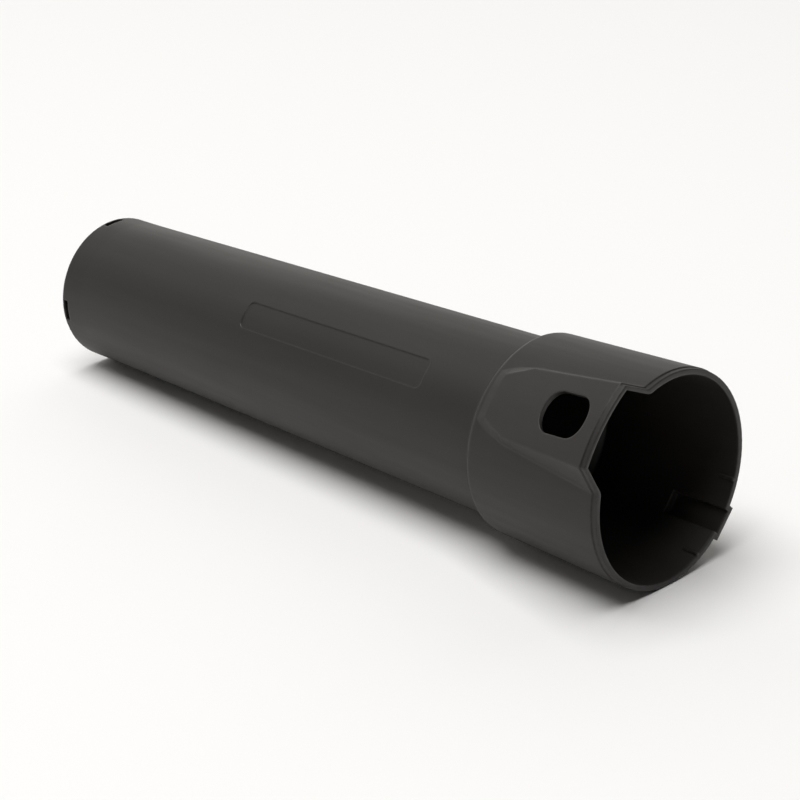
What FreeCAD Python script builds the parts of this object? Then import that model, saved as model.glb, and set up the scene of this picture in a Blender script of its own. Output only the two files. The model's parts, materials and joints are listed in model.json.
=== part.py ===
import FreeCAD, Part
import math
import os

import Sketcher
from FreeCAD import Rotation, Vector

# Leaf blower nozzle tube, moulded in one piece.
# In the body's own frame the tube's axis is X, the socket's mouth is at the origin and faces +X,
# the tube runs towards -X, and the lock pad is at the top, on +Z. Lengths in mm, angles in degrees.

NODE = "nozzle_tube"

# The kinds of feature that add material. The others cut.
ADDING = {"Revolution", "AdditiveLoft", "Pad"}

# The tube's axis in the body's own frame
TUBE_AXIS = Vector(1, 0, 0)

# How near a point has to be to count as the same place, in mm
NEAR = 1e-3

SIZES = {
    # The whole tube
    "tube_length": 366.0,
    "wall": 2.8,
    # Socket that slides over the blower's outlet
    "socket_radius": 42.8,
    "seat_depth": 46.0,
    "seat_length": 24.0,
    "mouth_lead_in": 2.4,
    "lip_length": 2.4,
    "lip_step": 0.4,
    # Flare from the collar down to the tube
    "flare_step": 4.4,
    "flare_length": 3.2,
    "flare_round": 2.0,
    # Outlet end, which takes push-on tips
    "outlet_radius": 36.5,
    "outlet_land": 15.0,
    "rim_round": 0.8,
    "slot_count": 4,
    "slot_turn": 45.0,
    "slot_width": 10.5,
    "slot_length": 3.0,
    "slot_inset": 1.4,
    # Lock pad, a ramp that falls from the mouth towards the collar's shoulder
    "pad_rise": 11.1,
    "pad_wall": 2.4,
    "pad_crown": 75.0,
    "pad_edge": 1.2,
    "foot_sink": 0.2,
    # The pad's sections: its half width at the top, how far its sides spread below that, its hollow
    # foot, and how far before the shoulder it is. The sides turn in at the corner.
    "front_half": 19.3,
    "front_spread": 5.0,
    "front_foot": 4.5,
    "corner_half": 16.3,
    "corner_spread": 2.2,
    "corner_foot": 2.5,
    "corner_gap": 19.8,
    "heel_half": 10.3,
    "heel_spread": 5.2,
    "heel_foot": 2.0,
    "heel_gap": 6.5,
    "rear_half": 12.0,
    "rear_spread": 3.6,
    "rear_foot": 2.0,
    "rear_gap": 1.0,
    "rear_sink": 0.8,
    # Channel inside the pad, which bends at the corner and runs out into the seat
    "channel_edge": 0.8,
    "channel_inset": 1.7,
    "channel_sink": 0.4,
    # Hole in the pad for the blower's spring button
    "hole_depth": 22.3,
    "hole_length": 26.0,
    "hole_width": 19.0,
    "hole_round": 7.5,
    # Key channel opposite the pad
    "key_rise": 2.2,
    "key_width": 16.4,
    "key_length": 30.0,
    # Short ribs inside the mouth, one on each side of the key
    "rib_turn": 23.5,
    "rib_length": 7.5,
    "rib_width": 1.2,
    "rib_height": 1.0,
    # Plain recessed panel along the tube
    "panel_start": 112.0,
    "panel_length": 120.0,
    "panel_sweep": 20.0,
    "panel_depth": 0.3,
    "panel_round": 3.0,
    # How it lies: turned about its own axis, so that the pad faces up and sideways. Along the resting
    # line is a flat, just deep enough to lie still on. The seam of what is turned is beside that.
    "rest_roll": 48.9,
    "rest_flat": 0.07,
    "seam_turn": 20.0,
    # How far a cut runs past the face that it opens
    "overshoot": 1.0,
}

# What follows from those sizes. A depth is measured from the mouth along the axis.
WORKED_OUT = {
    "shoulder_radius": "Sizes.socket_radius + Sizes.wall",
    "mouth_radius": "Derived.shoulder_radius + Sizes.mouth_lead_in",
    "mouth_bore": "Sizes.socket_radius + Sizes.mouth_lead_in",
    "lip_radius": "Derived.mouth_radius - Sizes.lip_step",
    "seat_end": "Sizes.seat_depth + Sizes.seat_length",
    "collar_length": "Derived.seat_end + Sizes.wall",
    "collar_taper": "Sizes.mouth_lead_in / (Derived.collar_length - Sizes.lip_length)",
    "flare_end": "Derived.collar_length + Sizes.flare_length",
    "tube_radius": "Derived.shoulder_radius - Sizes.flare_step",
    "land_start": "Sizes.tube_length - Sizes.outlet_land",
    "tube_taper": "(Derived.tube_radius - Sizes.outlet_radius) / (Derived.land_start - Derived.flare_end)",
    "pad_top": "Derived.mouth_radius + Sizes.pad_rise",
    "pad_base": "Derived.mouth_radius - Sizes.foot_sink",
    "pad_slope": "(Derived.pad_top - Derived.shoulder_radius) / (Derived.collar_length - Sizes.lip_length)",
    "corner_depth": "Derived.collar_length - Sizes.corner_gap",
    "heel_depth": "Derived.collar_length - Sizes.heel_gap",
    "rear_depth": "Derived.collar_length - Sizes.rear_gap",
    "key_radius": "Derived.mouth_radius + Sizes.key_rise",
    "panel_end": "Sizes.panel_start + Sizes.panel_length",
    "panel_start_radius": "Derived.tube_radius"
                          " - Derived.tube_taper * (Sizes.panel_start - Derived.flare_end)",
    "panel_end_radius": "Derived.panel_start_radius - Derived.tube_taper * Sizes.panel_length",
    "slot_centre": "Sizes.tube_length - Sizes.slot_inset - Sizes.slot_length / 2",
    "rest_turn": "180 - Sizes.rest_roll",
    "seam_place": "Derived.rest_turn - Sizes.seam_turn",
    "rest_slope": "(Derived.mouth_radius - Sizes.outlet_radius)"
                  " / (Sizes.tube_length - Sizes.lip_length - Sizes.rim_round)",
    "rest_tilt": "atan(Derived.rest_slope) / 1 deg",
    "ground_at_mouth": "Derived.mouth_radius - Sizes.rest_flat + Derived.rest_slope * Sizes.lip_length",
    "ground_at_outlet": "Sizes.outlet_radius - Sizes.rest_flat - Derived.rest_slope * Sizes.rim_round",
}


def make_sheet(doc):
    """The driving sizes, one to a row, with the size's name as the cell's alias."""
    sheet = doc.addObject("Spreadsheet::Sheet", "Sizes")
    for row, (name, size) in enumerate(SIZES.items(), start=1):
        sheet.set(f"A{row}", name)
        sheet.set(f"B{row}", str(size))
        sheet.setAlias(f"B{row}", name)
    doc.recompute()


def make_derived(doc):
    """The worked-out sizes, each bound to the sheet or to the ones above it."""
    derived = doc.addObject("App::VarSet", "Derived")
    for name, formula in WORKED_OUT.items():
        derived.addProperty("App::PropertyFloat", name)
        derived.setExpression(name, formula)
        doc.recompute()


def number(doc, reference):
    """The number behind a reference such as Sizes.wall."""
    holder, name = reference.split(".")
    return float(getattr(doc.getObject(holder), name))


def origin_feature(body, role):
    """One of the body's own origin planes or axes, by its role."""
    return next(item for item in body.Origin.OriginFeatures if item.Role == role)


def new_sketch(body, name, plane, depth=None):
    """An empty sketch on an origin plane, set back from the mouth where a depth is given."""
    sketch = body.newObject("Sketcher::SketchObject", name)
    sketch.AttachmentSupport = (origin_feature(body, plane), [""])
    sketch.MapMode = "FlatFace"
    if depth:
        sketch.setExpression("AttachmentOffset.Base.z", f"-({depth})")
    return sketch


def bind(sketch, expression, kind, *where, start=1.0):
    """Add one dimension, which starts at a given size, and tie it to an expression."""
    index = sketch.addConstraint(Sketcher.Constraint(kind, *where, start))
    sketch.setExpression(f"Constraints[{index}]", expression)


def draw_polygon(sketch, corners):
    """A closed outline of straight lines, whose corners are pairs of expressions."""
    count = len(corners)
    turns = [math.tau * i / count for i in range(count)]
    spots = [Vector(math.cos(turn), math.sin(turn), 0) for turn in turns]
    for i in range(count):
        sketch.addGeometry(Part.LineSegment(spots[i], spots[(i + 1) % count]))
    for i, (across, up) in enumerate(corners):
        sketch.addConstraint(Sketcher.Constraint("Coincident", i, 2, (i + 1) % count, 1))
        bind(sketch, across, "DistanceX", i, 1)
        bind(sketch, up, "DistanceY", i, 1)
    sketch.Document.recompute()


def arc(centre, start, end):
    """The arc about a centre, counter-clockwise from one point to another."""
    circle = Part.Circle(centre, Vector(0, 0, 1), (start - centre).Length)
    angles = [math.atan2(point.y - centre.y, point.x - centre.x) for point in (start, end)]
    return Part.ArcOfCircle(circle, *angles)


def mirrored(point):
    """The same point on the other side of the sketch's upright axis."""
    return Vector(-point.x, point.y, 0)


def draw_pad_section(sketch, top, half, base, foot, spread, crown, edge):
    """A cross-section of the lock pad, or of the channel inside it, as a wedge from the axis outwards.

    On each side a hollow foot leaves the round wall, whose radius is base, and turns up into a drafted
    side. A rounded edge joins that to the top, which is a flatter arc whose radius is crown. half is
    the distance from the middle to where a side meets its rounded edge, and spread is how much further
    out it reaches the round wall, which gives the draft. All sizes are expressions.
    """
    doc = sketch.Document
    side_height = (f"{top} - ({crown}) + sqrt(({crown}) ^ 2 - ({half}) ^ 2)"
                   f" - sqrt(({base}) ^ 2 - ({half} + {spread}) ^ 2)")
    draft = f"atan({spread} / ({side_height})) / 1 deg"
    sizes = [float(sketch.evalExpression(size)) for size in (top, half, base, foot, draft, crown, edge)]
    top_y, half_w, base_r, foot_r, slant, crown_r, edge_r = sizes
    slant = math.radians(slant)
    outward = Vector(math.cos(slant), math.sin(slant), 0)
    downward = Vector(math.sin(slant), -math.cos(slant), 0)
    axis = Vector(0, 0, 0)

    # The right-hand half worked out in order from the top, so that the sketch starts where it will settle
    crown_centre = Vector(0, top_y - crown_r, 0)
    edge_x = half_w - edge_r * outward.x
    edge_centre = crown_centre + Vector(edge_x, math.sqrt((crown_r - edge_r) ** 2 - edge_x ** 2), 0)
    top_end = crown_centre + (edge_centre - crown_centre) * (crown_r / (crown_r - edge_r))
    side_top = edge_centre + outward * edge_r
    above_foot = side_top + outward * foot_r
    along = above_foot.dot(downward)
    side_length = -along - math.sqrt(along ** 2 - above_foot.Length ** 2 + (base_r + foot_r) ** 2)
    side_foot = side_top + downward * side_length
    foot_centre = side_foot + outward * foot_r
    foot_end = foot_centre * (base_r / (base_r + foot_r))

    close_a = sketch.addGeometry(Part.LineSegment(axis, foot_end))
    foot_a = sketch.addGeometry(arc(foot_centre, side_foot, foot_end))
    side_a = sketch.addGeometry(Part.LineSegment(side_foot, side_top))
    edge_a = sketch.addGeometry(arc(edge_centre, side_top, top_end))
    top_arc = sketch.addGeometry(arc(crown_centre, top_end, mirrored(top_end)))
    edge_b = sketch.addGeometry(arc(mirrored(edge_centre), mirrored(top_end), mirrored(side_top)))
    side_b = sketch.addGeometry(Part.LineSegment(mirrored(side_foot), mirrored(side_top)))
    foot_b = sketch.addGeometry(arc(mirrored(foot_centre), mirrored(foot_end), mirrored(side_foot)))
    close_b = sketch.addGeometry(Part.LineSegment(mirrored(foot_end), axis))

    first, last, middle, origin, upright = 1, 2, 3, (-1, 1), -2
    for joint in [
        ("Tangent", foot_a, first, side_a, first),
        ("Tangent", side_a, last, edge_a, first),
        ("Tangent", edge_a, last, top_arc, first),
        ("Tangent", top_arc, last, edge_b, first),
        ("Tangent", edge_b, last, side_b, last),
        ("Tangent", side_b, first, foot_b, last),
        ("Coincident", foot_b, first, close_b, first),
        ("Coincident", close_b, last, *origin),
        ("Coincident", close_a, first, *origin),
        ("Coincident", close_a, last, foot_a, last),
        ("PointOnObject", top_arc, middle, upright),
        ("PointOnObject", foot_a, middle, close_a),
        ("PointOnObject", foot_b, middle, close_b),
        ("Equal", edge_a, edge_b),
        ("Equal", foot_a, foot_b),
    ]:
        sketch.addConstraint(Sketcher.Constraint(*joint))
    for foot_arc in (foot_a, foot_b):
        bind(sketch, f"{base} + {foot}", "Distance", *origin, foot_arc, middle, start=base_r + foot_r)
    bind(sketch, f"{top} - ({crown})", "DistanceY", top_arc, middle, start=crown_centre.y)
    bind(sketch, crown, "Radius", top_arc, start=crown_r)
    bind(sketch, edge, "Radius", edge_a, start=edge_r)
    bind(sketch, foot, "Radius", foot_a, start=foot_r)
    bind(sketch, half, "DistanceX", side_a, last, start=half_w)
    bind(sketch, f"-({half})", "DistanceX", side_b, last, start=-half_w)
    bind(sketch, f"(90 + {draft}) * 1 deg", "Angle", side_a, start=math.pi / 2 + slant)
    bind(sketch, f"(90 - {draft}) * 1 deg", "Angle", side_b, start=math.pi / 2 - slant)
    doc.recompute()


def draw_flatted_circle(sketch):
    """The lock hole: a circle with two flats, one on each side."""
    doc = sketch.Document
    across = number(doc, "Sizes.hole_width") / 2
    radius = number(doc, "Sizes.hole_length") / 2
    reach = math.sqrt(radius ** 2 - across ** 2)
    centre = Vector(-number(doc, "Sizes.hole_depth"), 0, 0)
    corners = [centre + Vector(x, y, 0) for x, y in
               [(reach, -across), (reach, across), (-reach, across), (-reach, -across)]]
    front = sketch.addGeometry(arc(centre, corners[0], corners[1]))
    flat_b = sketch.addGeometry(Part.LineSegment(corners[1], corners[2]))
    rear = sketch.addGeometry(arc(centre, corners[2], corners[3]))
    flat_a = sketch.addGeometry(Part.LineSegment(corners[3], corners[0]))
    for joint in [
        ("Coincident", front, 2, flat_b, 1),
        ("Coincident", flat_b, 2, rear, 1),
        ("Coincident", rear, 2, flat_a, 1),
        ("Coincident", flat_a, 2, front, 1),
        ("Coincident", front, 3, rear, 3),
        ("Equal", front, rear),
        ("Horizontal", flat_a),
        ("Horizontal", flat_b),
        ("PointOnObject", front, 3, -1),
    ]:
        sketch.addConstraint(Sketcher.Constraint(*joint))
    bind(sketch, "-Sizes.hole_depth", "DistanceX", front, 3, start=centre.x)
    bind(sketch, "Sizes.hole_length / 2", "Radius", front, start=radius)
    bind(sketch, "Sizes.hole_width / 2", "DistanceY", flat_b, 1, start=across)
    bind(sketch, "-Sizes.hole_width / 2", "DistanceY", flat_a, 1, start=-across)
    doc.recompute()


def add_feature(body, kind, name, sketch, **settings):
    """A feature made from a sketch. A setting that is text is an expression.

    Stops if the volume didn't change the way that this kind of feature changes it.
    """
    before = body.Shape.Volume if body.Tip else 0.0
    feature = body.newObject(f"PartDesign::{kind}", name)
    feature.Profile = sketch
    for setting, wanted in settings.items():
        if isinstance(wanted, str):
            feature.setExpression(setting, wanted)
        else:
            setattr(feature, setting, wanted)
    body.Document.recompute()
    gain = body.Shape.Volume - before
    if abs(gain) < NEAR or (gain > 0) != (kind in ADDING):
        raise RuntimeError(f"{name} changed the volume by {gain:.3f} mm3")
    return feature


def turn_sketch(sketch, turn):
    """Turn a sketch's plane about the tube's axis."""
    sketch.AttachmentOffset = FreeCAD.Placement(Vector(0, 0, 0), TUBE_AXIS, sketch.evalExpression(turn))
    sketch.setExpression("AttachmentOffset.Rotation.Angle", turn)


def add_turned(body, kind, name, turn, corners, **settings):
    """A Revolution or Groove about the tube's axis, from a half profile of depths and radii.

    The profile, and with it the seam of a whole turn, is turned round from the middle of the pad.
    """
    sketch = new_sketch(body, f"{name}Profile", "XZ_Plane")
    turn_sketch(sketch, turn)
    draw_polygon(sketch, [(f"-({depth})", radius) for depth, radius in corners])
    return add_feature(body, kind, name, sketch, ReferenceAxis=(sketch, ["H_Axis"]), **settings)


def add_round(body, name, radius, wanted):
    """A Fillet on those edges of the body's tip that a test picks out."""
    base = body.Tip
    picked = [f"Edge{i}" for i, edge in enumerate(base.Shape.Edges, start=1) if wanted(edge)]
    if not picked:
        raise RuntimeError(f"{name} found no edge to round")
    fillet = body.newObject("PartDesign::Fillet", name)
    fillet.Base = (base, picked)
    fillet.setExpression("Radius", radius)
    body.Document.recompute()
    return fillet


def is_ring(edge, depth, radius):
    """Whether an edge is a circle about the axis, at a depth and radius."""
    if not isinstance(edge.Curve, Part.Circle):
        return False
    off_centre = (edge.Curve.Center - Vector(-depth, 0, 0)).Length
    return off_centre < NEAR and abs(edge.Curve.Radius - radius) < NEAR


def build_outside(body):
    """The tube, the flare and the collar as one solid turning, with its lip stepped in at the mouth."""
    doc = body.Document
    add_turned(body, "Revolution", "Outside", "Derived.seam_place", [
        ("0", "0"),
        ("0", "Derived.lip_radius"),
        ("Sizes.lip_length", "Derived.lip_radius"),
        ("Sizes.lip_length", "Derived.mouth_radius"),
        ("Derived.collar_length", "Derived.shoulder_radius"),
        ("Derived.flare_end", "Derived.tube_radius"),
        ("Derived.land_start", "Sizes.outlet_radius"),
        ("Sizes.tube_length", "Sizes.outlet_radius"),
        ("Sizes.tube_length", "0"),
    ])
    shoulder = (number(doc, "Derived.collar_length"), number(doc, "Derived.shoulder_radius"))
    waist = (number(doc, "Derived.flare_end"), number(doc, "Derived.tube_radius"))
    rim = (number(doc, "Sizes.tube_length"), number(doc, "Sizes.outlet_radius"))
    add_round(body, "FlareRound", "Sizes.flare_round",
              lambda edge: is_ring(edge, *shoulder) or is_ring(edge, *waist))
    add_round(body, "OutletRound", "Sizes.rim_round", lambda edge: is_ring(edge, *rim))


def pad_section(body, name, depth, *sizes):
    """One section of the lock pad or of its channel, across the axis at a depth."""
    sketch = new_sketch(body, name, "YZ_Plane", depth)
    draw_pad_section(sketch, *sizes)
    return sketch


def pad_heights(depth):
    """The top of the lock pad's ramp at a depth, and the radius that its feet stand on."""
    run = f"({depth} - Sizes.lip_length)"
    return f"Derived.pad_top - Derived.pad_slope * {run}", f"Derived.pad_base - Derived.collar_taper * {run}"


def build_pad(body):
    """The lock pad's outside: a ramp with a corner on each side, its heel, and its own lip at the mouth."""
    sections = []
    for place, depth in [("front", "Sizes.lip_length"),
                         ("corner", "Derived.corner_depth"),
                         ("heel", "Derived.heel_depth")]:
        top, base = pad_heights(depth)
        sections.append(pad_section(body, f"Pad{place.title()}", depth, top, f"Sizes.{place}_half", base,
                                    f"Sizes.{place}_foot", f"Sizes.{place}_spread",
                                    "Sizes.pad_crown", "Sizes.pad_edge"))
    # The rear section lies just under the collar, and is as round as the collar there
    _, under = pad_heights("Derived.rear_depth")
    sections.append(pad_section(body, "PadRear", "Derived.rear_depth", under, "Sizes.rear_half",
                                f"{under} - Sizes.rear_sink", "Sizes.rear_foot", "Sizes.rear_spread",
                                under, "Sizes.pad_edge"))
    front, *others = sections
    add_feature(body, "AdditiveLoft", "LockPad", front, Sections=others, Ruled=True)
    lip = pad_section(body, "PadLip", "Sizes.lip_length", "Derived.pad_top - Sizes.lip_step",
                      "Sizes.front_half - Sizes.lip_step", "Derived.pad_base - Sizes.lip_step",
                      "Sizes.front_foot", "Sizes.front_spread", "Sizes.pad_crown", "Sizes.pad_edge")
    add_feature(body, "Pad", "LockPadLip", lip, Length="Sizes.lip_length")


def key_outline(body, name, depth, half, outer, inner):
    """A rectangle across the key, between two radii on the side opposite the pad."""
    sketch = new_sketch(body, name, "YZ_Plane", depth)
    draw_polygon(sketch, [
        (f"-({half})", f"-({outer})"),
        (half, f"-({outer})"),
        (half, f"-({inner})"),
        (f"-({half})", f"-({inner})"),
    ])
    return sketch


def build_key(body):
    """The key's outside: a low straight bar on the collar, bevelled at its rear end."""
    doc = body.Document
    bar = key_outline(body, "KeyBarOutline", "Sizes.lip_length", "Sizes.key_width / 2", "Derived.key_radius",
                      "Sizes.socket_radius / 2")
    add_feature(body, "Pad", "KeyBar", bar, Length="Sizes.key_length - Sizes.lip_length", Reversed=True)
    base = body.Tip
    rear = number(doc, "Sizes.key_length")
    outer = number(doc, "Derived.key_radius")
    picked = [f"Edge{i}" for i, edge in enumerate(base.Shape.Edges, start=1)
              if all(abs(end.X + rear) < NEAR and abs(end.Z + outer) < NEAR for end in edge.Vertexes)]
    bevel = body.newObject("PartDesign::Chamfer", "KeyBevel")
    bevel.Base = (base, picked)
    bevel.setExpression("Size", "Sizes.key_rise")
    doc.recompute()
    lip = key_outline(body, "KeyLipOutline", "Sizes.lip_length", "Sizes.key_width / 2 - Sizes.lip_step",
                      "Derived.key_radius - Sizes.lip_step", "Sizes.socket_radius / 2")
    add_feature(body, "Pad", "KeyLip", lip, Length="Sizes.lip_length")


def build_duct(body):
    """The air way: lead-in, cylindrical seat, flare and tapered tube, cut right through."""
    add_turned(body, "Groove", "Duct", "Derived.seam_place", [
        ("-Sizes.overshoot", "0"),
        ("-Sizes.overshoot", "Derived.mouth_bore"),
        ("0", "Derived.mouth_bore"),
        ("Sizes.seat_depth", "Sizes.socket_radius"),
        ("Derived.seat_end", "Sizes.socket_radius"),
        ("Derived.flare_end - Sizes.wall / 2", "Derived.tube_radius - Sizes.wall"),
        ("Derived.land_start", "Sizes.outlet_radius - Sizes.wall"),
        ("Sizes.tube_length + Sizes.overshoot", "Sizes.outlet_radius - Sizes.wall"),
        ("Sizes.tube_length + Sizes.overshoot", "0"),
    ])


def build_channels(body):
    """The hollows behind the lock pad and the key, inside their outsides, and the key's ribs."""
    rounds = ("Sizes.pad_crown - Sizes.pad_wall", "Sizes.channel_edge")
    sections = []
    for place, depth, wall_radius in [("front", "Sizes.lip_length", "Derived.mouth_bore"),
                                      ("corner", "Derived.corner_depth", "Sizes.socket_radius")]:
        top, _ = pad_heights(depth)
        sections.append(pad_section(body, f"Channel{place.title()}", depth, f"{top} - Sizes.pad_wall",
                                    f"Sizes.{place}_half - Sizes.channel_inset",
                                    f"{wall_radius} - Sizes.foot_sink",
                                    f"Sizes.{place}_foot + Sizes.pad_wall",
                                    f"Sizes.{place}_spread", *rounds))
    run_out = "Sizes.socket_radius - Sizes.channel_sink"
    sections.append(pad_section(body, "ChannelRunOut", "Derived.seat_end", run_out,
                                "Sizes.heel_half - Sizes.channel_inset", f"{run_out} - Sizes.rear_sink",
                                "Sizes.heel_foot", "Sizes.rear_spread", *rounds))
    mouth, *others = sections
    add_feature(body, "SubtractiveLoft", "PadChannel", mouth, Sections=others, Ruled=True)
    add_feature(body, "Pocket", "PadChannelMouth", mouth,
                Length="Sizes.lip_length + Sizes.overshoot", Reversed=True)
    slot = key_outline(body, "KeyChannelOutline", "0", "Sizes.key_width / 2 - Sizes.wall",
                       "Derived.key_radius - Sizes.wall", "Sizes.socket_radius / 2")
    add_feature(body, "Pocket", "KeyChannel", slot, Length="Sizes.key_length - Sizes.wall")
    rib = key_outline(body, "RibOutline", "0", "Sizes.rib_width / 2", "Derived.mouth_bore + Sizes.wall / 4",
                      "Derived.mouth_bore - Sizes.rib_height")
    rib.setExpression("AttachmentOffset.Rotation.Angle", "Sizes.rib_turn")
    body.Document.recompute()
    one = add_feature(body, "Pad", "Rib", rib, Length="Sizes.rib_length", Reversed=True)
    pair = body.newObject("PartDesign::Mirrored", "RibPair")
    pair.Originals = [one]
    pair.MirrorPlane = (origin_feature(body, "XZ_Plane"), [""])
    body.Tip = pair
    body.Document.recompute()


def build_openings(body):
    """The lock hole through the pad, and the clip slots round the outlet."""
    doc = body.Document
    hole = new_sketch(body, "LockHoleOutline", "XY_Plane")
    draw_flatted_circle(hole)
    add_feature(body, "Pocket", "LockHole", hole,
                Length="Derived.pad_top + Sizes.overshoot", Reversed=True)
    across = number(doc, "Sizes.hole_width") / 2

    def is_hole_corner(edge):
        """Whether an edge stands upright at the end of one of the hole's flats."""
        ends = [vertex.Point for vertex in edge.Vertexes]
        return (len(ends) == 2 and math.hypot(ends[0].x - ends[1].x, ends[0].y - ends[1].y) < NEAR
                and all(abs(abs(end.y) - across) < NEAR and end.z > 0 for end in ends))

    add_round(body, "LockHoleRound", "Sizes.hole_round", is_hole_corner)
    slot = new_sketch(body, "ClipSlotOutline", "XY_Plane")
    turn_sketch(slot, "Sizes.slot_turn")
    draw_polygon(slot, [
        ("-(Derived.slot_centre + Sizes.slot_length / 2)", "-Sizes.slot_width / 2"),
        ("-(Derived.slot_centre - Sizes.slot_length / 2)", "-Sizes.slot_width / 2"),
        ("-(Derived.slot_centre - Sizes.slot_length / 2)", "Sizes.slot_width / 2"),
        ("-(Derived.slot_centre + Sizes.slot_length / 2)", "Sizes.slot_width / 2"),
    ])
    one = add_feature(body, "Pocket", "ClipSlot", slot,
                      Length="Sizes.outlet_radius + Sizes.overshoot", Reversed=True)
    ring = body.newObject("PartDesign::PolarPattern", "ClipSlots")
    ring.Originals = [one]
    ring.Axis = (origin_feature(body, "X_Axis"), [""])
    ring.Angle = 360
    ring.setExpression("Occurrences", "Sizes.slot_count")
    body.Tip = ring
    doc.recompute()


def build_panel(body):
    """A shallow plain panel sunk into the tube in line with the pad, with rounded corners."""
    doc = body.Document
    add_turned(body, "Groove", "Panel", "0", [
        ("Sizes.panel_start", "Derived.panel_start_radius - Sizes.panel_depth"),
        ("Sizes.panel_start", "Derived.panel_start_radius + Sizes.overshoot"),
        ("Derived.panel_end", "Derived.panel_end_radius + Sizes.overshoot"),
        ("Derived.panel_end", "Derived.panel_end_radius - Sizes.panel_depth"),
    ], Angle="Sizes.panel_sweep", Midplane=True)
    depths = [number(doc, "Sizes.panel_start"), number(doc, "Derived.panel_end")]
    height = number(doc, "Sizes.panel_depth")

    def is_panel_corner(edge):
        """Whether an edge is one of the four that stand at the panel's corners."""
        return (len(edge.Vertexes) == 2 and abs(edge.Length - height) < NEAR
                and any(all(abs(end.X + depth) < NEAR for end in edge.Vertexes) for depth in depths))

    add_round(body, "PanelRound", "Sizes.panel_round", is_panel_corner)


def build_rest(body):
    """The flat that the tube lies on: slivers off the mouth's ring and the far rim, in one plane."""
    sketch = new_sketch(body, "RestFlatProfile", "XZ_Plane")
    turn_sketch(sketch, "Derived.rest_turn")
    draw_polygon(sketch, [
        ("0", "Derived.ground_at_mouth"),
        ("0", "Derived.mouth_radius + Sizes.overshoot"),
        ("-Sizes.tube_length", "Sizes.outlet_radius + Sizes.overshoot"),
        ("-Sizes.tube_length", "Derived.ground_at_outlet"),
    ])
    add_feature(body, "Pocket", "RestFlat", sketch, Length="Sizes.outlet_radius", Midplane=True)


def lay_down(body):
    """Turn the tube as it lies, with its lowest point at zero and its footprint's middle at the origin."""
    doc = body.Document
    roll = Rotation(TUBE_AXIS, number(doc, "Sizes.rest_roll"))
    tilt = Rotation(Vector(0, 1, 0), -number(doc, "Derived.rest_tilt"))
    body.Placement = FreeCAD.Placement(Vector(0, 0, 0), tilt.multiply(roll))
    doc.recompute()
    box = body.Shape.optimalBoundingBox()
    body.Placement.Base = Vector(-box.Center.x, -box.Center.y, -box.ZMin)
    doc.recompute()


def check(doc, body):
    """Stop if any object failed, or if the tube isn't one sound solid."""
    for item in doc.Objects:
        if {"Invalid", "Error"} & set(item.State):
            raise RuntimeError(f"{item.Name} failed: {item.State}")
    shape = body.Shape
    if shape.isNull() or not shape.isValid() or len(shape.Solids) != 1:
        raise RuntimeError(f"{body.Label} isn't one valid solid")


def main():
    doc = FreeCAD.newDocument("NozzleTube")
    make_sheet(doc)
    make_derived(doc)
    body = doc.addObject("PartDesign::Body", "Body")
    body.Label = NODE
    build_outside(body)
    build_pad(body)
    build_key(body)
    build_duct(body)
    build_channels(body)
    build_openings(body)
    build_panel(body)
    build_rest(body)
    lay_down(body)
    check(doc, body)
    os.makedirs("parts", exist_ok=True)
    body.Shape.exportStep(f"parts/{body.Label}.step")


main()
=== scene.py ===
import json

import bpy
from mathutils import Matrix, Vector

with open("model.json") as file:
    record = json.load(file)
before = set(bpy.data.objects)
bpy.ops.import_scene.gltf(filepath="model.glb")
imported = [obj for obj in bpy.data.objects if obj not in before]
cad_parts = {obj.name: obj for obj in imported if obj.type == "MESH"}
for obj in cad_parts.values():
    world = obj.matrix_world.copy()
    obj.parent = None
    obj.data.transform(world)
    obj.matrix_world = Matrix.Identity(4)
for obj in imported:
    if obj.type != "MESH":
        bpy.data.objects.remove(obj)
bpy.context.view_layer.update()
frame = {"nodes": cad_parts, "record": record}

# Leaf blower nozzle tube: the finish of its plastic, and a studio like the one in the photo.
# Lengths are in metres. A pair of numbers is the two ends of a range.

UPWARD = Vector((0, 0, 1))

# How far the middle of the socket's seat is from the mouth
SEAT_FROM_MOUTH = 0.058

# Where the tube lies: the way its axis runs in from the mouth, and the middle of the mouth
MOUNTS = {mount["name"]: mount for mount in frame["record"]["mounts"]}
INWARD = -Vector(MOUNTS["socket"]["axis"])
MOUTH = Vector(MOUNTS["socket"]["pos_m"]) - SEAT_FROM_MOUTH * INWARD

# The camera, fitted to the photo, with its lens and sensor in millimetres
CAMERA_FROM_MOUTH = Vector((0.51700, -0.66959, 0.39740))
CAMERA_LOOKS = Vector((-0.65234, 0.64652, -0.39556))
CAMERA_LENS = 101.4
CAMERA_SENSOR = 36.0
CAMERA_NEAR = 0.01

# The plastic's colour: at the darkest and lightest of its patches, and on a rubbed edge, which is lighter
# partly as wear and partly as a painted highlight
DARK_PATCH = (0.0128, 0.0108, 0.0090, 1)
LIGHT_PATCH = (0.0162, 0.0139, 0.0117, 1)
WORN_AND_HIGHLIT_EDGE = (0.031, 0.0285, 0.0255, 1)

# The scales of its noise, which part of its range is used, and how flow marks are drawn out along the tube.
# The two finest kinds, specks and grain, are rougher than the others.
PATCH_SCALE = 14.0
FLOW_SCALE = 160.0
SPECK_SCALE = 420.0
GRAIN_SCALE = 1900.0
GRAIN_DETAIL = 2.0
FINE_NOISE = 0.6
PATCH_NOISE = (0.3, 0.7)
FLOW_NOISE = (0.35, 0.65)
SPECK_NOISE = (0.35, 0.6)
ALONG_TUBE = (0.06, 1.0, 1.0)

# Its edges: how wide they are rounded, and in how many samples, how far the surface turns there, as a
# cosine, and how much of an edge is rubbed and lightened with a painted highlight
EDGE_ROUND = 0.0013
EDGE_SAMPLES = 8
EDGE_TURN = (0.98, 0.80)
WORN_AND_HIGHLIT_SHARE = (0.25, 1.0)

# Its roughness: over the patches, what flow marks add to it, and what rubbing takes from it
PATCH_ROUGHNESS = (0.49, 0.55)
FLOW_ROUGHNESS = (-0.02, 0.03)
RUBBED_SHINE = 0.12

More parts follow.
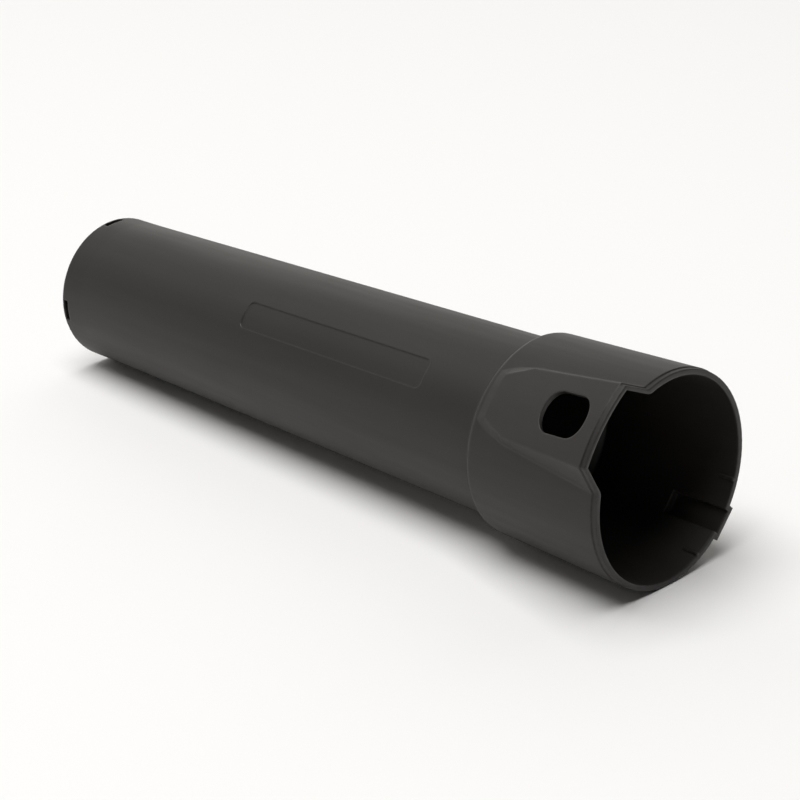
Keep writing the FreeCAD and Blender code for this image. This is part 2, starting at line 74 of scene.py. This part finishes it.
# Its grain, in which the specks also stand out a little
GRAIN_HEIGHT = 0.0002
GRAIN_STRENGTH = 0.14
SPECKS_IN_GRAIN = 0.8
PLASTIC_IOR = 1.45

# The floor: its colour and size, and how far out the plain colour takes over from the light on it.
# Above the horizon a backdrop goes on in that colour, and fades into the tent at this rise, as a sine.
PALE = (0.93, 0.925, 0.918, 1)
FLOOR_RADIUS = 14.0
FLOOR_SIDES = 96
FLOOR_FADE = (1.1, 2.6)
BACKDROP_FADE = (0.10, 0.17)

# Two sides of the studio, seen from the tube
BEHIND = (0.0, 1.0, 0.0)
BEYOND_MOUTH = (1.0, 0.0, 0.0)

# The tent's light, as it changes with how far a direction leans to one of those sides
BEHIND_LEAN = (0.3, 0.7)
BEHIND_LIGHT = (0.22, 1.05)
FAR_END_LEAN = (-0.97, -0.68)
FAR_END_LIGHT = (6.0, 0.86)
MOUTH_LEAN = (-0.2, 0.4)
MOUTH_LIGHT = (1.0, 0.06)
TENT_COLOUR = (1.0, 0.97, 0.93, 1)

# The lamp overhead, with its power in watts
LAMP_PLACE = Vector((-0.4, -1.35, 6.0))
LAMP_SIZE = 4.8
LAMP_POWER = 375.0

# From none to all, and from all to none
WHOLE = (0.0, 1.0)
FADING = (1.0, 0.0)


class Nodes:
    """Short calls for building one node tree."""

    # Where a mix node has its share, its two colours and the mixed colour
    SHARE = 0
    COLOUR_A = 6
    COLOUR_B = 7
    MIXED = 2

    def __init__(self, tree):
        self.tree = tree
        tree.nodes.clear()

    def add(self, kind, inputs=None, **settings):
        """A new node. An input is a number, a colour, or another node's output."""
        node = self.tree.nodes.new(kind)
        for name, value in settings.items():
            setattr(node, name, value)
        for name, value in (inputs or {}).items():
            socket = node.inputs[name]
            if isinstance(value, bpy.types.NodeSocket):
                self.tree.links.new(value, socket)
            else:
                socket.default_value = value
        return node

    def show(self, kind, shader):
        """The tree's output node, of this kind, with the shader that it shows."""
        self.add(kind, {"Surface": shader})

    def math(self, operation, *values):
        """One math node's result."""
        inputs = dict(enumerate(values))
        return self.add("ShaderNodeMath", inputs, operation=operation).outputs[0]

    def vector(self, operation, *values, result="Value"):
        """One vector math node's result: a number, unless the result called Vector is asked for."""
        inputs = dict(enumerate(values))
        return self.add("ShaderNodeVectorMath", inputs, operation=operation).outputs[result]

    def noise(self, where, scale, detail=3.0, rough=0.5):
        """A noise texture's value, from 0 to 1."""
        inputs = {"Vector": where, "Scale": scale, "Detail": detail, "Roughness": rough}
        return self.add("ShaderNodeTexNoise", inputs).outputs[0]

    def spread(self, value, source, target=WHOLE):
        """A value carried from one range to another, and held inside it."""
        names = ("Value", "From Min", "From Max", "To Min", "To Max")
        inputs = dict(zip(names, (value, *source, *target)))
        return self.add("ShaderNodeMapRange", inputs).outputs["Result"]

    def mix(self, share, a, b):
        """Two colours mixed."""
        inputs = {self.SHARE: share, self.COLOUR_A: a, self.COLOUR_B: b}
        return self.add("ShaderNodeMix", inputs, data_type="RGBA").outputs[self.MIXED]

    def seen(self):
        """1 for a ray that shows the surroundings, straight, mirrored or through glass, and 0 for others."""
        ray = self.add("ShaderNodeLightPath").outputs
        mirrored = self.math("MAXIMUM", ray["Is Glossy Ray"], ray["Is Transmission Ray"])
        return self.math("MAXIMUM", ray["Is Camera Ray"], mirrored)


def new_material(name):
    """A new material and its node tree, which is empty."""
    material = bpy.data.materials.new(name)
    material.use_nodes = True
    return material, Nodes(material.node_tree)


def black_plastic():
    """Moulded black plastic: fine spark grain, faint flow marks along the tube, edges rubbed a little and
    lightened with a painted highlight.
    """
    material, nodes = new_material("black_plastic")
    place = nodes.add("ShaderNodeTexCoord").outputs["Object"]
    face = nodes.add("ShaderNodeNewGeometry").outputs["Normal"]

    # Noise at four scales: patches of sheen, flow marks drawn out along the tube, specks, and the grain
    patches = nodes.spread(nodes.noise(place, PATCH_SCALE), PATCH_NOISE)
    flow = nodes.noise(nodes.vector("MULTIPLY", place, ALONG_TUBE, result="Vector"), FLOW_SCALE)
    specks = nodes.noise(place, SPECK_SCALE, rough=FINE_NOISE)
    grain = nodes.noise(place, GRAIN_SCALE, GRAIN_DETAIL, FINE_NOISE)

    # An edge is where a normal that is rounded over it leaves the face's own. It is rubbed unevenly, and its
    # lighter colour is partly wear and partly a painted highlight
    rounded = nodes.add("ShaderNodeBevel", {"Radius": EDGE_ROUND}, samples=EDGE_SAMPLES).outputs["Normal"]
    edge = nodes.spread(nodes.vector("DOT_PRODUCT", rounded, face), EDGE_TURN)
    worn_and_highlit = nodes.math("MULTIPLY", edge, nodes.spread(specks, SPECK_NOISE, WORN_AND_HIGHLIT_SHARE))

    tone = nodes.mix(patches, DARK_PATCH, LIGHT_PATCH)
    # Edges made lighter: partly wear, partly a painted highlight
    tone = nodes.mix(worn_and_highlit, tone, WORN_AND_HIGHLIT_EDGE)

    rough = nodes.spread(patches, WHOLE, PATCH_ROUGHNESS)
    rough = nodes.math("ADD", rough, nodes.spread(flow, FLOW_NOISE, FLOW_ROUGHNESS))
    rough = nodes.math("SUBTRACT", rough, nodes.math("MULTIPLY", worn_and_highlit, RUBBED_SHINE))

    height = nodes.math("ADD", grain, nodes.math("MULTIPLY", specks, SPECKS_IN_GRAIN))
    bump = nodes.add("ShaderNodeBump", {
        "Strength": GRAIN_STRENGTH, "Distance": GRAIN_HEIGHT, "Height": height, "Normal": rounded,
    })
    shader = nodes.add("ShaderNodeBsdfPrincipled", {
        "Base Color": tone, "Roughness": rough, "IOR": PLASTIC_IOR, "Normal": bump.outputs["Normal"],
    })
    nodes.show("ShaderNodeOutputMaterial", shader.outputs[0])
    return material


def pale_paint():
    """The floor's paint, which takes light and shadow near the tube and is seen as plain colour far away."""
    material, nodes = new_material("pale_floor")
    place = nodes.add("ShaderNodeTexCoord").outputs["Object"]
    away = nodes.spread(nodes.vector("LENGTH", place), FLOOR_FADE)
    lit = nodes.add("ShaderNodeBsdfDiffuse", {"Color": PALE}).outputs[0]
    plain = nodes.add("ShaderNodeEmission", {"Color": PALE}).outputs[0]
    share = nodes.math("MULTIPLY", nodes.seen(), away)
    shader = nodes.add("ShaderNodeMixShader", {0: share, 1: lit, 2: plain})
    nodes.show("ShaderNodeOutputMaterial", shader.outputs[0])
    return material


def lay_floor():
    """The floor, a wide disc that the tube lies on."""
    bpy.ops.mesh.primitive_circle_add(
        vertices=FLOOR_SIDES, radius=FLOOR_RADIUS, fill_type="NGON", location=(0, 0, 0),
    )
    floor = bpy.context.object
    floor.name = "floor"
    floor.data.materials.append(pale_paint())


def put_up_tent():
    """A light tent: brightest behind the tube and beyond its far end, dim in front, darkest at the mouth."""
    world = bpy.data.worlds.new("studio")
    world.use_nodes = True
    bpy.context.scene.world = world
    nodes = Nodes(world.node_tree)
    facing = nodes.add("ShaderNodeTexCoord").outputs["Generated"]
    behind = nodes.spread(nodes.vector("DOT_PRODUCT", facing, BEHIND), BEHIND_LEAN, BEHIND_LIGHT)
    beyond = nodes.vector("DOT_PRODUCT", facing, BEYOND_MOUTH)
    far_end = nodes.spread(beyond, FAR_END_LEAN, FAR_END_LIGHT)
    mouth = nodes.spread(beyond, MOUTH_LEAN, MOUTH_LIGHT)
    level = nodes.math("MULTIPLY", behind, nodes.math("MULTIPLY", far_end, mouth))
    tent = nodes.add("ShaderNodeBackground", {"Color": TENT_COLOUR, "Strength": level}).outputs[0]

    low = nodes.spread(nodes.vector("DOT_PRODUCT", facing, UPWARD), BACKDROP_FADE, FADING)
    backdrop = nodes.add("ShaderNodeBackground", {"Color": PALE}).outputs[0]
    share = nodes.math("MULTIPLY", nodes.seen(), low)
    shader = nodes.add("ShaderNodeMixShader", {0: share, 1: tent, 2: backdrop})
    nodes.show("ShaderNodeOutputWorld", shader.outputs[0])


def hang_lamp():
    """One wide soft lamp, high above the tube and a little in front of it."""
    lamp = bpy.data.lights.new("overhead", "AREA")
    lamp.size = LAMP_SIZE
    lamp.energy = LAMP_POWER
    holder = bpy.data.objects.new("overhead", lamp)
    holder.location = LAMP_PLACE
    holder.rotation_euler = (-LAMP_PLACE).to_track_quat("-Z", "Y").to_euler()
    bpy.context.collection.objects.link(holder)


def set_camera():
    """The camera where the photo was taken from, level from side to side."""
    data = bpy.data.cameras.new("camera")
    data.sensor_width = CAMERA_SENSOR
    data.lens = CAMERA_LENS
    data.clip_start = CAMERA_NEAR
    camera = bpy.data.objects.new("camera", data)
    back = -CAMERA_LOOKS.normalized()
    right = UPWARD.cross(back).normalized()
    up = back.cross(right)
    turn = Matrix((right, up, back)).transposed().to_4x4()
    camera.matrix_world = Matrix.Translation(MOUTH + CAMERA_FROM_MOUTH) @ turn
    bpy.context.collection.objects.link(camera)
    bpy.context.scene.camera = camera


tube = frame["nodes"]["nozzle_tube"]
plastic = black_plastic()
for slot in tube.material_slots:
    slot.material = plastic
lay_floor()
put_up_tent()
hang_lamp()
set_camera()
bpy.context.scene.view_settings.view_transform = "Standard"
